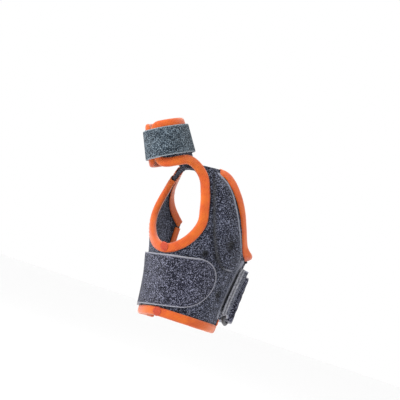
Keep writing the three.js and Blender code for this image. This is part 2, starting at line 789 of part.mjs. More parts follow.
add("collar_top_binding", edgeTape({ form: thumb, over: collarLaminate, path: collarTopEdge, steps: 34, inward: -1 }), orangeTape);
const collarFront = collarLowRun(0, 21);
const collarBehind = collarLowRun(41, collarColumns);
add("collar_front_binding", edgeTape({ form: thumb, over: collarLaminate, path: collarFront, steps: 21, inward: 1 }), orangeTape);
add("collar_behind_binding", edgeTape({ form: thumb, over: collarLaminate, path: collarBehind, steps: 23, inward: 1 }), orangeTape);
add("neck_binding", neckTapeGeometry(), orangeTape);
add("hole_tack", tackGeometry(-128, 0.421 * splintHeight), orangeThread);
add("wrist_tack", tackGeometry(-120, tapeWidth * 0.57), orangeThread);

export default parts;
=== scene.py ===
import math
import bmesh
import bpy
import numpy as np
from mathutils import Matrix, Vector, noise


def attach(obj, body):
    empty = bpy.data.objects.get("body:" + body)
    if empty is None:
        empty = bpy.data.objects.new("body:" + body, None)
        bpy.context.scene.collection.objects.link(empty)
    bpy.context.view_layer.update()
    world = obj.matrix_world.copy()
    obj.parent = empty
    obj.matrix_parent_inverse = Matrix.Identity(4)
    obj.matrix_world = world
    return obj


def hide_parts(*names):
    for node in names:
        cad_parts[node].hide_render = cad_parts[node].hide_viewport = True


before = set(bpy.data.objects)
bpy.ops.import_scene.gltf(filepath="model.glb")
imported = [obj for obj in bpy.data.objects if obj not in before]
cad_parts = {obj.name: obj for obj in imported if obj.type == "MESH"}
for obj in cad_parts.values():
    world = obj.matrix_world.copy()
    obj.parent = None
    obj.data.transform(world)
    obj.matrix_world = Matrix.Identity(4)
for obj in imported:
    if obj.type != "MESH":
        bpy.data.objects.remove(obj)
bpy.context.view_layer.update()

mm = 0.001
print("stage: frame loaded")


# from one place to another, smooth, with the slope it leaves and arrives with
def sweep(t, start, leave, end, arrive):
    near = (2 * t**3 - 3 * t**2 + 1) * start + (t**3 - 2 * t**2 + t) * leave
    return near + (3 * t**2 - 2 * t**3) * end + (t**3 - t**2) * arrive


def through(keys, values, x):  # a smooth curve through a table
    order = np.argsort(keys)
    k, v = np.asarray(keys, float)[order], np.asarray(values, float)[order]
    x = np.asarray(x, float)
    i = np.clip(np.searchsorted(k, x) - 1, 0, len(k) - 2)
    before, after = np.maximum(i - 1, 0), np.minimum(i + 2, len(k) - 1)
    span = k[i + 1] - k[i]
    t = np.clip((x - k[i]) / span, 0, 1)
    slopeA = (v[i + 1] - v[before]) / (k[i + 1] - k[before]) * span
    slopeB = (v[after] - v[i]) / (k[after] - k[i]) * span
    return sweep(t, v[i], slopeA, v[i + 1], slopeB)


def ease(x):
    t = np.clip(x, 0, 1)
    return t * t * (3 - 2 * t)


def unit(v):
    return v / np.maximum(np.linalg.norm(v, axis=-1, keepdims=True), 1e-9)


# the two forms, in mm, that the cloth is laid on
handForm = {
    "wristThick": 45,
    "wristBroad": 59,
    "tall": 104,
    "heights": [-0.1, 0, 0.2, 0.4, 0.6, 0.78, 0.92, 1.0],
    "back": [1, 1, 1.07, 1.19, 1.3, 1.3, 1.2, 1.1],
    "backUlnar": [1.02, 1.02, 1.05, 1.11, 1.18, 1.22, 1.2, 1.15],
    "ulnar": [1, 1, 1.05, 1.15, 1.26, 1.34, 1.36, 1.3],
    "palmUlnar": [1.04, 1.04, 1.09, 1.16, 1.18, 1.12, 1.0, 0.92],
    "palm": [1, 1, 1.1, 1.26, 1.44, 1.3, 1.06, 0.96],
    "thenar": [1.04, 1.05, 1.2, 1.48, 1.7, 1.58, 1.42, 1.34],
    "radial": [1, 1, 1.06, 1.16, 1.24, 1.2, 1.08, 0.9],
    "backRadial": [1.02, 1.02, 1.04, 1.11, 1.21, 1.18, 1.06, 0.9],
    "lip": {"out": 5.6, "angle": -10, "wide": 10, "from": 52},  # the wrap's corner stands off the form
}
around = ["back", "backUlnar", "ulnar", "palmUlnar", "palm", "thenar", "radial", "backRadial"]
tall = handForm["tall"]


def handSkin(angle, height):
    angle, height = np.broadcast_arrays(np.asarray(angle, float), np.asarray(height, float))
    share = height / tall
    swells = np.stack([through(handForm["heights"], handForm[name], share) for name in around])
    turn = (angle % 360) / 45
    near = np.floor(turn).astype(int)
    t = turn - near
    pick = lambda step: np.take_along_axis(swells, ((near + step) % 8)[None], 0)[0]
    p, q, r, s = pick(-1), pick(0), pick(1), pick(2)
    bulge = q + 0.5 * t * (r - p + t * (2 * p - 5 * q + 4 * r - s + t * (3 * (q - r) + s - p)))
    a, lip = np.radians(angle), handForm["lip"]
    beside = ((angle - lip["angle"] + 180) % 360 - 180) / lip["wide"]
    off = lip["out"] * np.exp(-(beside**2)) * ease((height - lip["from"]) / 7)
    return np.stack(
        [
            (handForm["wristThick"] / 2 * bulge + off) * np.cos(a),
            (handForm["wristBroad"] / 2 * bulge + off) * np.sin(a),
            height * 1.0,
        ],
        -1,
    )


thumbForm = {
    "base": (-34, -35, 93.8),
    "lean": 29,
    "forward": 3,
    "radius": 10.8,
    "taper": 0.08,
    "tall": 28,
    "skirt": 2.6,
}
lean, forward = math.radians(thumbForm["lean"]), math.radians(thumbForm["forward"])
thumbAxis = unit(np.array([-math.sin(lean), -math.sin(forward), math.cos(lean)]))
thumbAcross = unit(np.cross([0, 1, 0], thumbAxis))
thumbBehind = np.cross(thumbAxis, thumbAcross)
neckRoot = {  # where the neck leaves the wrap's upper edge, by the turn round the collar
    "turns": [-60, -30, 0, 30, 60, 100],
    "angles": [-106, -112, -120, -129, -138, -149],
    "heights": [0.935, 0.945, 0.95, 0.95, 0.95, 0.938],
    "length": 10,
}


def thumbSkin(turn, height):
    turn, height = np.broadcast_arrays(np.asarray(turn, float), np.asarray(height, float))
    a = np.radians(turn)[..., None]
    out = thumbAcross * np.cos(a) + thumbBehind * np.sin(a)

    def straight(h):
        radius = thumbForm["radius"] + thumbForm["taper"] * (thumbForm["tall"] / 2 - h)
        return np.array(thumbForm["base"]) + h[..., None] * thumbAxis + radius[..., None] * out

    skirt = thumbForm["skirt"]
    s = np.clip(1 + (height + skirt) / (neckRoot["length"] - skirt), -0.2, 1)[..., None]
    t = np.clip(turn, -60, 100)
    rootHeight = through(neckRoot["turns"], neckRoot["heights"], t) * tall
    root = handSkin(through(neckRoot["turns"], neckRoot["angles"], t), rootHeight)
    top = straight(np.full(turn.shape, -skirt))
    up = unit(top - root)
    span = np.linalg.norm(top - root, axis=-1, keepdims=True)
    leave, arrive = unit(up + np.array([0, 0, 1])) * span, unit(up + thumbAxis) * span
    neck = sweep(s, root, leave, top, arrive)
    return np.where((height >= -skirt)[..., None], straight(height), neck)


def outward(skin, u, v):
    du = skin(u + 0.5, v) - skin(u - 0.5, v)
    dv = skin(u, v + 0.25) - skin(u, v - 0.25)
    return unit(np.cross(du, dv))


def onForm(skin, u, v, offset):
    return skin(u, v) + outward(skin, u, v) * np.asarray(offset, float)[..., None]


def ripple(points, size, amount, seed=0.0):  # soft unevenness of handled cloth, in mm
    return np.array(
        [noise.noise(Vector((p[0] / size + seed, p[1] / size, p[2] / size))) for p in points]
    ) * amount


# sheets: a flat grid, made with an operator, is laid on a form
def gridMesh(along, across, flat, place, closed=False):
    bm = bmesh.new()
    bmesh.ops.create_grid(bm, x_segments=along, y_segments=across, size=0.5)
    uv = bm.loops.layers.uv.new("flat")
    for face in bm.faces:
        for loop in face.loops:
            loop[uv].uv = ((loop.vert.co.x + 0.5) * flat[0] * mm, (loop.vert.co.y + 0.5) * flat[1] * mm)
    u = np.array([v.co.x + 0.5 for v in bm.verts])
    v = np.array([v.co.y + 0.5 for v in bm.verts])
    placed = place(u, v)
    placed, fromEdge, pressed = (*placed, 0.0)[:3] if isinstance(placed, tuple) else (placed, 9.0, 0.0)
    rim = bm.verts.layers.float.new("fromEdge")  # mm in from the piece's own edge; near it the velour gets a pale edge, partly painted highlight
    shadeLayer = bm.verts.layers.float.new("pressed")  # 1 where shade is painted: the velour is darkened there
    fields = np.broadcast_arrays(fromEdge, pressed, u)
    for vert, p, d, q in zip(bm.verts, placed, fields[0], fields[1]):
        vert.co = Vector(p) * mm
        vert[rim], vert[shadeLayer] = d, q
    if closed:
        bmesh.ops.remove_doubles(bm, verts=bm.verts, dist=1e-6)
    return bm


def finishPiece(name, bm, finishes, thickness=None, side=0, rim=0, soften=0.4):
    bm.normal_update()
    mesh = bpy.data.meshes.new(name)
    bm.to_mesh(mesh)
    bm.free()
    for face in mesh.polygons:
        face.use_smooth = True
    piece = bpy.data.objects.new(name, mesh)
    bpy.context.collection.objects.link(piece)
    for finish in finishes:
        mesh.materials.append(finish)
    if thickness:
        wall = piece.modifiers.new("wall", "SOLIDIFY")
        wall.thickness = thickness * mm
        wall.offset = side
        wall.material_offset_rim = rim
        wall.use_quality_normals = True
    if soften:
        edge = piece.modifiers.new("softEdge", "BEVEL")
        edge.width = soften * mm
        edge.segments = 3
        edge.limit_method = "ANGLE"
        edge.angle_limit = math.radians(50)
    return piece


def dress(piece, slotName, *nodes):
    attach(piece, "root")
    if nodes:
        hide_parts(*nodes)
    return piece


# finishes
class Wire:
    def __init__(self, finish, socket):
        self.finish, self.socket = finish, socket

    def maths(self, kind, a, b=None):
        values = {0: a} if b is None else {0: a, 1: b}
        return self.finish.node("ShaderNodeMath", {"operation": kind}, values)

    def __add__(self, other):
        return self.maths("ADD", self, other)

    def __radd__(self, other):
        return self.maths("ADD", other, self)

    def __sub__(self, other):
        return self.maths("SUBTRACT", self, other)

    def __rsub__(self, other):
        return self.maths("SUBTRACT", other, self)

    def __mul__(self, other):
        return self.maths("MULTIPLY", self, other)

    def __rmul__(self, other):
        return self.maths("MULTIPLY", other, self)


class Finish:
    def __init__(self, name):
        self.material = bpy.data.materials.new(name)
        self.material.use_nodes = True
        self.tree = self.material.node_tree
        self.surface = self.tree.nodes["Principled BSDF"]

    def node(self, kind, settings=None, values=None, out=0):  # settings first, then what its sockets hold
        made = self.tree.nodes.new(kind)
        for key, value in (settings or {}).items():
            if key == "stops":
                ramp = made.color_ramp
                while len(ramp.elements) < len(value):
                    ramp.elements.new(0.5)
                for element, (at, color) in zip(ramp.elements, value):
                    element.position, element.color = at, (*color, 1)
            else:
                setattr(made, key, value)
        for key, value in (values or {}).items():
            self.put(made.inputs[key], value)
        return Wire(self, made.outputs[out])

    def put(self, socket, value):
        if isinstance(value, Wire):
            self.tree.links.new(value.socket, socket)
        elif hasattr(socket.default_value, "__len__") and len(socket.default_value) == 4:
            socket.default_value = (*value, 1)
        else:
            socket.default_value = value

    def coat(self, color, bump=None, roughness=0.9, shine=0.2, sheen=0.0):
        inputs = {"Base Color": color, "Roughness": roughness, "Specular IOR Level": shine}
        inputs.update({"Sheen Weight": sheen, "Sheen Roughness": 0.45})
        if bump:
            inputs["Normal"] = bump
        for key, value in inputs.items():
            self.put(self.surface.inputs[key], value)
        return self.material


def paint(r, g, b, light=2.2):  # the dye that looks like this screen colour under the studio's light
    return tuple(
        (c / 255 / 12.92 if c <= 10 else ((c / 255 + 0.055) / 1.055) ** 2.4) / light for c in (r, g, b)
    )


def velourFinish(name, looks):
    f = Finish(name)
    place = f.node("ShaderNodeTexCoord", out="Object")
    loops = f.node(
        "ShaderNodeTexNoise",
        None,
        {"Vector": place, "Scale": looks["loops"], "Detail": 1.0, "Roughness": 0.5, "Distortion": 0.8},
    )
    fibre = f.node(
        "ShaderNodeTexNoise",
        None,
        {"Vector": place, "Scale": looks["loops"] * 2.3, "Detail": 1.0, "Roughness": 0.5},
    )
    curls = f.node(
        "ShaderNodeTexVoronoi",
        {"feature": "SMOOTH_F1"},
        {"Vector": place, "Scale": looks["loops"] * 0.9, "Smoothness": 0.4, "Randomness": 1.0},
    )
    drift = f.node(
        "ShaderNodeTexNoise", None, {"Vector": place, "Scale": 60.0, "Detail": 2.0, "Roughness": 0.5}
    )
    rubbed = f.node(
        "ShaderNodeTexNoise", None, {"Vector": place, "Scale": 260.0, "Detail": 2.0, "Roughness": 0.6}
    )
    fleck = loops * 0.62 + fibre * 0.2 + (1.0 - curls) * 0.08 + rubbed * 0.1
    dark, mid, light, pale = (
        paint(*c) for c in (looks["dark"], looks["mid"], looks["light"], looks["pale"])
    )
    melange = f.node(
        "ShaderNodeValToRGB",
        {"stops": [(0.44, dark), (0.49, mid), (0.53, light), (0.58, pale)]},
        {"Fac": fleck},
    )
    tone = f.node(
        "ShaderNodeMapRange",
        None,
        {"Value": drift, "From Min": 0.3, "From Max": 0.7, "To Min": 0.86, "To Max": 1.14},
    )
    shade = f.node("ShaderNodeVectorMath", {"operation": "SCALE"}, {0: melange, "Scale": tone})
    # near a piece's edge the colour is mixed toward the rim colour: partly the pale cut edge, partly
    # painted highlight on the edge
    near = f.node("ShaderNodeAttribute", {"attribute_name": "fromEdge"}, None, "Fac")
    paleEdgeAndHighlight = f.node(
        "ShaderNodeMapRange",
        {"interpolation_type": "SMOOTHSTEP"},
        {
            "Value": near + (loops - 0.5) * 1.2,
            "From Min": looks["edge"] * 0.45,
            "From Max": looks["edge"],
            "To Min": 0.85,
            "To Max": 0.0,
        },
    )
    speckle = f.node(
        "ShaderNodeMapRange",
        None,
        {"Value": fibre, "From Min": 0.4, "From Max": 0.56, "To Min": 0.6, "To Max": 1.0},
    )
    shade = f.node(
        "ShaderNodeMix",
        {"data_type": "RGBA"},
        {"Factor": paleEdgeAndHighlight * speckle, 6: shade, 7: paint(*looks["rim"])},
        2,
    )
    # painted shade: the colour is darkened by up to 80% where the painted-shade attribute is 1
    flat = f.node("ShaderNodeAttribute", {"attribute_name": "pressed"}, None, "Fac")
    shade = f.node("ShaderNodeVectorMath", {"operation": "SCALE"}, {0: shade, "Scale": 1.0 - flat * 0.8})
    pile = (1.0 - curls) * 0.7 + loops * 0.8 + fibre * 0.3
    bump = f.node("ShaderNodeBump", None, {"Height": pile, "Strength": looks["bump"], "Distance": 0.0012})
    return f.coat(shade, bump, 0.93, 0.12, looks["sheen"])


def tapeFinish(name, looks):
    f = Finish(name)
    place = f.node("ShaderNodeTexCoord", out="Object")
    flat = f.node("ShaderNodeTexCoord", out="UV")
    rows = f.node(
        "ShaderNodeTexWave",
        {"wave_type": "BANDS", "bands_direction": "X"},
        {"Vector": flat, "Scale": looks["ribs"], "Distortion": 1.2, "Detail": 2.0, "Detail Scale": 2.0},
    )
    courses = f.node(
        "ShaderNodeTexWave",
        {"wave_type": "BANDS", "bands_direction": "Y"},
        {"Vector": flat, "Scale": looks["ribs"] * 1.3, "Distortion": 0.8, "Detail": 1.0},
    )
    fuzz = f.node(
        "ShaderNodeTexNoise", None, {"Vector": place, "Scale": 1500.0, "Detail": 2.0, "Roughness": 0.6}
    )
    drift = f.node(
        "ShaderNodeTexNoise", None, {"Vector": place, "Scale": 120.0, "Detail": 3.0, "Roughness": 0.55}
    )
    knit = rows * 0.45 + courses * 0.25 + fuzz * 0.3
    tint = knit * 0.5 + drift * 0.5
    color = f.node(
        "ShaderNodeValToRGB",
        {
            "stops": [
                (0.3, paint(*looks["deep"])), (0.5, paint(*looks["main"])), (0.72, paint(*looks["lit"]))
            ]
        },
        {"Fac": tint},
    )
    bump = f.node("ShaderNodeBump", None, {"Height": knit, "Strength": 0.45, "Distance": 0.0003})
    return f.coat(color, bump, 0.78, 0.25, 0.25)


def cutFoamFinish(name, looks):
    f = Finish(name)
    place = f.node("ShaderNodeTexCoord", out="Object")
    grain = f.node(
        "ShaderNodeTexNoise", None, {"Vector": place, "Scale": 1400.0, "Detail": 3.0, "Roughness": 0.65}
    )
    color = f.node(
        "ShaderNodeValToRGB",
        {"stops": [(0.35, paint(*looks["dark"])), (0.62, paint(*looks["pale"]))]},
        {"Fac": grain},
    )
    bump = f.node("ShaderNodeBump", None, {"Height": grain, "Strength": 0.6, "Distance": 0.0004})
    return f.coat(color, bump, 0.9, 0.2)


def threadFinish(name, looks):
    f = Finish(name)
    place = f.node("ShaderNodeTexCoord", out="Object")
    twist = f.node(
        "ShaderNodeTexWave",
        {"wave_type": "BANDS", "bands_direction": "DIAGONAL"},
        {"Vector": place, "Scale": 900.0, "Distortion": 1.0},
    )
    color = f.node(
        "ShaderNodeValToRGB",
        {"stops": [(0.1, paint(*looks["dark"])), (0.8, paint(*looks["main"]))]},
        {"Fac": twist},
    )
    bump = f.node("ShaderNodeBump", None, {"Height": twist, "Strength": 0.5, "Distance": 0.0002})
    return f.coat(color, bump, 0.55, 0.4)


def plasticFinish(name, looks):
    f = Finish(name)
    place = f.node("ShaderNodeTexCoord", out="Object")
    cast = f.node(
        "ShaderNodeTexNoise", None, {"Vector": place, "Scale": 2200.0, "Detail": 2.0, "Roughness": 0.5}
    )
    scuff = f.node(
        "ShaderNodeTexNoise", None, {"Vector": place, "Scale": 260.0, "Detail": 4.0, "Roughness": 0.7}
    )
    color = f.node(
        "ShaderNodeValToRGB",
        {"stops": [(0.35, paint(*looks["dark"])), (0.7, paint(*looks["main"]))]},
        {"Fac": scuff},
    )
    rough = f.node(
        "ShaderNodeMapRange",
        None,
        {"Value": scuff, "From Min": 0.3, "From Max": 0.7, "To Min": 0.36, "To Max": 0.56},
    )
    bump = f.node("ShaderNodeBump", None, {"Height": cast, "Strength": 0.2, "Distance": 0.0002})
    return f.coat(color, bump, rough, 0.45)


wrapVelour = velourFinish(
    "wrapVelour",
    {
        "dark": (4, 7, 26),
        "mid": (20, 24, 43),
        "light": (52, 57, 80),
        "pale": (154, 159, 182),
        "loops": 1550.0,
        "bump": 1.0,
        "edge": 0.9,
        "rim": (188, 191, 206),
        "sheen": 0.06,
    },
)
strapVelour = velourFinish(
    "strapVelour",
    {
        "dark": (6, 7, 27),
        "mid": (22, 24, 43),
        "light": (54, 56, 77),
        "pale": (150, 152, 174),
        "loops": 1550.0,
        "bump": 1.0,
        "edge": 1.0,
        "rim": (190, 190, 202),
        "sheen": 0.06,
    },
)
thumbVelour = velourFinish(
    "thumbVelour",
    {
        "dark": (16, 30, 42),
        "mid": (44, 60, 74),
        "light": (78, 96, 110),
        "pale": (148, 163, 174),
        "loops": 1700.0,
        "bump": 1.0,
        "edge": 0.7,
        "rim": (176, 188, 196),
        "sheen": 0.06,
    },
)
liningVelour = velourFinish(
    "liningVelour",
    {
        "dark": (22, 24, 36),
        "mid": (46, 49, 62),
        "light": (68, 72, 86),
        "pale": (100, 104, 118),
        "loops": 1700.0,
        "bump": 0.5,
        "edge": 0.5,
        "rim": (100, 104, 118),
        "sheen": 0.06,
    },
)
# the back hem's velour, made much lighter than the wrap's: painted highlight on the folded end
litHemVelour = velourFinish(
    "litHemVelour",
    {
        "dark": (30, 32, 50),
        "mid": (104, 107, 124),
        "light": (150, 153, 170),
        "pale": (205, 208, 220),
        "loops": 1500.0,
        "bump": 1.0,
        "edge": 0.5,
        "rim": (190, 192, 205),
        "sheen": 0.06,
    },
)
orangeTape = tapeFinish(
    "orangeTape", {"deep": (186, 58, 0), "main": (209, 88, 0), "lit": (230, 118, 8), "ribs": 420.0}
)
cutEdge = cutFoamFinish("cutEdge", {"dark": (120, 122, 134), "pale": (205, 206, 214)})
darkCut = cutFoamFinish("darkCut", {"dark": (36, 37, 48), "pale": (92, 94, 108)})
orangeThread = threadFinish("orangeThread", {"dark": (206, 66, 14), "main": (238, 96, 30)})
tackThread = threadFinish("tackThread", {"dark": (176, 44, 8), "main": (214, 74, 18)})
ringPlastic = plasticFinish("ringPlastic", {"dark": (40, 40, 46), "main": (62, 62, 70)})
print("stage: finishes made")


# the wrap
laminate = 2.5
collar = {
    "thick": 1.8,
    "gapAt": 212,
    "gap": 3.0,
    "low": 1.25,
    "high": 26.75,
    "corner": 5.5,
    "sink": 2.2,
    "neckFront": -26,
    "neckBack": 78,
    "neckDrop": 9.6,
    "neckEase": 22,
}
tape = {"wide": 5.6, "thick": 0.6, "rim": 1.25, "roll": 1.1, "seamIn": 1.9, "threadOut": 0.92}
thread = {"long": 2.1, "thick": 0.42, "gap": 3.0}
wrap = {
    "backEnd": 0.34,
    "palmEnd": -229.3,
    "edgeAngles": [12, 0, -19, -30, -38, -53, -65, -75, -88, -102, -116, -140, -156, -178, -205, -240],
    "edgeHeights": [
        0.54, 0.545, 0.57, 0.625, 0.685, 0.81, 0.885, 0.928, 0.958, 0.965, 0.96, 0.95, 0.92, 0.83, 0.71,
        0.6,
    ],
    "holeAngles": [
        -102.3, -104.8, -110.3, -116, -127, -146, -160, -165, -161, -152, -140, -127, -115, -106.5
    ],
    "holeHeights": [
        0.62, 0.70, 0.80, 0.865, 0.9, 0.878, 0.775, 0.65, 0.56, 0.488, 0.438, 0.43, 0.474, 0.542
    ],
    "dimples": [(-58.5, 57.3), (-82.9, 46.7), (-40, 25.1)],  # angle, height of each tacked-down place
    "palmDrop": 2.6,  # its lower edge hangs lower on the palm side
}


# pocket for the stay, sewn on the wrap
pocket = {  # its two sides from the rounded foot up to the crest: angle, height
    "left": [(-41, 42.5), (-54, 42.5), (-66.5, 47.5), (-79, 58.5), (-91, 74), (-100.5, 87.5), (-107, 96)],
    "right": [
        (-42.5, 43), (-35.5, 46), (-36.3, 53), (-48.5, 64), (-64, 78.5), (-80.5, 90.5), (-101, 96.5)
    ],
    "rise": {"in": [0, 0.2, 0.6, 1.2, 2.2, 3.4, 5.0, 7.0], "up": [0.1, 1.3, 2.5, 3.1, 3.4, 3.7, 4.0, 4.2]},
    "shade": {"off": 4.0, "wide": 1.9},  # painted shadow on the wrap beside it
    "foot": 41.9,
    "crest": 4.2,  # how far under the wrap's upper edge it has sunk into the tape
    "above": 0.25,
}


def pocketSide(name, share):
    at = share * (len(pocket[name]) - 1)
    return [through(range(len(pocket[name])), [p[k] for p in pocket[name]], at) for k in (0, 1)]


# painted shadow on the wrap just outside the pocket's right side, fainter along its left
def shadowBesidePocket(angle, height):
    near = 0
    for name, low, high, off in (("right", 0, 0.72, pocket["shade"]["off"]), ("left", 0, 0.85, -1)):
        a, h = pocketSide(name, np.linspace(low, high, 70))
        away = np.hypot((angle[:, None] - a - off) * 0.5, height[:, None] - h + 0.6).min(1)
        near = np.maximum(
            near, np.exp(-((away / pocket["shade"]["wide"]) ** 2)) * (1 if name == "right" else 0.7)
        )
    return near


def dimpleAt(angle, height):
    away = [np.hypot((angle - a) * 0.55, height - h) for a, h in wrap["dimples"]]
    return sum(np.exp(-((d / 2.0) ** 2)) for d in away), sum(np.exp(-((d / 4.5) ** 2)) for d in away)


def lowerEdge(angle):
    return tape["rim"] - wrap["palmDrop"] * ease((-118 - angle) / 50)


def upperEdge(angle):
    return through(wrap["edgeAngles"], wrap["edgeHeights"], angle) * tall - tape["rim"]


def loopThrough(points, count):  # a closed smooth curve, evenly spaced
    pts = np.asarray(points, float)
    n = len(pts)
    chord = np.linalg.norm(np.roll(pts, -1, 0) - pts, axis=1) ** 0.5
    knots = np.concatenate([[0], np.cumsum(chord)])
    t = np.linspace(0, knots[-1], 4000, endpoint=False)
    i = np.clip(np.searchsorted(knots, t, side="right") - 1, 0, n - 1)
    p0, p1, p2, p3 = pts[(i - 1) % n], pts[i], pts[(i + 1) % n], pts[(i + 2) % n]
    d0, d1, d2 = chord[(i - 1) % n][:, None], chord[i][:, None], chord[(i + 1) % n][:, None]
    m1 = (p1 - p0) / d0 - (p2 - p0) / (d0 + d1) + (p2 - p1) / d1
    m2 = (p2 - p1) / d1 - (p3 - p1) / (d1 + d2) + (p3 - p2) / d2
    s = ((t - knots[i]) / chord[i])[:, None]
    fine = sweep(s, p1, m1 * d1, p2, m2 * d1)
    step = np.linalg.norm(np.roll(fine, -1, 0) - fine, axis=1)
    length = np.concatenate([[0], np.cumsum(step)])
    want = np.linspace(0, length[-1], count, endpoint=False)
    closedFine = np.vstack([fine, fine[:1]])
    return np.stack([np.interp(want, length, closedFine[:, k]) for k in range(2)], 1)


squash = 0.6  # mm for each degree round the wrap, near enough for distances
holeLoop = loopThrough(
    [(a * squash, h * tall) for a, h in zip(wrap["holeAngles"], wrap["holeHeights"])], 480
)


def toHole(angle, height):  # distance from the hole's rim, less than 0 inside it
    x, y = np.asarray(angle) * squash, np.asarray(height)
    gap = np.full(x.shape, 1e9)
    inside = np.zeros(x.shape, bool)
    for (x1, y1), (x2, y2) in zip(holeLoop, np.roll(holeLoop, -1, 0)):
        gap = np.minimum(gap, np.hypot(x - x1, y - y1))
        if y1 != y2:
            inside ^= ((y1 > y) != (y2 > y)) & (x < (x2 - x1) * (y - y1) / (y2 - y1) + x1)
    return np.where(inside, -gap, gap)


def wrapPlace(angle, height):  # the outer face: foam is squeezed flat under tape and plump beside it, with painted shade and a painted highlight band
    fromEdge = np.minimum.reduce(
        [
            height - lowerEdge(angle),
            upperEdge(angle) - height,
            (wrap["backEnd"] - angle) * 0.55,
            (angle - wrap["palmEnd"]) * 0.5,
            np.abs(toHole(angle, height)),
        ]
    )
    inner = ease((fromEdge - 4.1) / 2.2)  # 1 clear of the tape
    plump = 0.45 * inner
    deep, broad = dimpleAt(angle, height)
    points = handSkin(angle, height)
    uneven = (ripple(points, 14, 0.45) + ripple(points, 5, 0.14, 3)) * inner
    # painted shadow on the wrap along the inner edge of the tape, except near the back end
    shadeByTape = 0.4 * np.exp(
        -((np.maximum(fromEdge - tape["wide"] + 1.1, 0) / 1.7) ** 2)
    ) * ease((-20 - angle) / 6)
    # painted shade: dark dimples, the shadow beside the pocket and along the tape
    pressed = deep * 1.5 + broad * 0.3 + np.maximum(shadowBesidePocket(angle, height) * 0.8, shadeByTape)
    offset = laminate + plump - 1.3 * deep - 0.4 * broad + uneven
    # painted highlight: a pale band near the wrap's back end, centred 13 degrees in from it and about 12
    # to 50 mm up
    endHighlight = np.abs(angle + 13) * 0.075 + 2 * (1 - ease((height - 7) / 5) * ease((56 - height) / 6))
    return onForm(handSkin, angle, height, offset), endHighlight, np.clip(pressed, 0, 1)


def makeWrap():
    def place(u, v):
        angle = wrap["backEnd"] + (wrap["palmEnd"] - wrap["backEnd"]) * u
        height = lowerEdge(angle) + (upperEdge(angle) - lowerEdge(angle)) * v
        flatAt.extend(zip(angle, height))
        return wrapPlace(angle, height)

    flatAt = []
    bm = gridMesh(260, 150, (150, 98), place)
    flat = np.array(flatAt)
    depth = toHole(flat[:, 0], flat[:, 1])
    bm.verts.ensure_lookup_table()
    bmesh.ops.delete(bm, geom=[v for v, d in zip(bm.verts, depth) if d < 0.25], context="VERTS")
    rimVerts = [v for v in bm.verts if v.is_boundary]
    bmesh.ops.smooth_vert(
        bm, verts=rimVerts, factor=0.4, use_axis_x=True, use_axis_y=True, use_axis_z=True
    )
    bmesh.ops.reverse_faces(bm, faces=bm.faces)
    return bm


wrapPiece = dress(
    finishPiece(
        "wrap",
        makeWrap(),
        [wrapVelour, liningVelour, darkCut],
        thickness=laminate,
        side=-1,
        rim=2,
        soften=0,
    ),
    "velour",
    "splint_body",
)
print("stage: wrap laid")


# tape folded over an edge
def tapeSection(reach, cloth):  # distance in from the cloth's edge, and offset from the form
    face = cloth + 0.05
    return np.array(
        [
            (reach, face + 0.02), (reach - 0.35, face + 0.42), (reach * 0.72, face + 0.62),
            (reach * 0.4, face + 0.62), (reach * 0.12, face + 0.5), (-0.35, face + 0.1),
            (-0.72, face - 0.6), (-0.82, cloth / 2), (-0.72, 0.6), (-0.35, -0.2),
            (0.3, -0.5), (reach * 0.5, -0.55), (reach - 0.3, -0.5), (reach, -0.2),
        ]
    )


def foldedTape(name, edges, outs, ins, cloths=None, look=orangeTape, wide=tape["wide"]):
    reach = wide - tape["roll"]
    fine = np.linspace(0, 13, 27)
    lines = [tapeSection(reach, c) for c in (laminate, collar["thick"])]
    lines = [[through(np.arange(14), line[:, k], fine) for k in range(2)] for line in lines]
    depth = lines[0][0]
    thin = np.zeros(len(edges)) if cloths is None else cloths
    count = len(edges) - 1
    steps = np.linalg.norm(np.diff(edges, axis=0), axis=1)
    length = steps.sum()
    wobble = ripple(edges, 7, 0.22, 5)

    def place(u, v):
        i = np.rint(u * count).astype(int)
        j = np.rint(v * (len(fine) - 1)).astype(int)
        pinch = 0.03 * np.cos(i * 1.9) * (j > 3)  # the thread draws it in a little
        d = depth[j] + wobble[i] * 0.6
        offset = lines[0][1][j] * (1 - thin[i]) + lines[1][1][j] * thin[i]
        return edges[i] + ins[i] * d[:, None] + outs[i] * (offset + pinch)[:, None]

    bm = gridMesh(count, len(fine) - 1, (length, 11.0), place)
    bmesh.ops.recalc_face_normals(bm, faces=bm.faces)
    mid = edges[0] + ins[0] * reach / 2
    outside = Vector(mid + outs[0] * 3.2) * mm
    probe = min(bm.faces, key=lambda f: (f.calc_center_median() - outside).length)
    if probe.normal.dot(Vector(outs[0])) < 0:
        bmesh.ops.reverse_faces(bm, faces=bm.faces)
    return finishPiece(name, bm, [look], thickness=tape["thick"], soften=0.18)


def stitches(name, points, alongs, outs):
    bm = bmesh.new()
    long, thick = thread["long"], thread["thick"]
    for p, along, out in zip(points, alongs, outs):
        made = bmesh.ops.create_uvsphere(bm, u_segments=6, v_segments=5, radius=0.5)["verts"]
        side = np.cross(out, along)
        for v in made:
            x, y, z = v.co
            v.co = Vector((p + along * z * long + side * x * thick + out * y * thick * 0.8)) * mm
    bmesh.ops.recalc_face_normals(bm, faces=bm.faces)
    return finishPiece(name, bm, [orangeThread], soften=0)


def frameAlong(skin, u, v, inward):
    points = skin(u, v)
    outs = outward(skin, u, v)
    along = unit(np.gradient(points, axis=0))
    ins = unit(np.cross(outs, along)) * inward
    return points, outs, ins, along


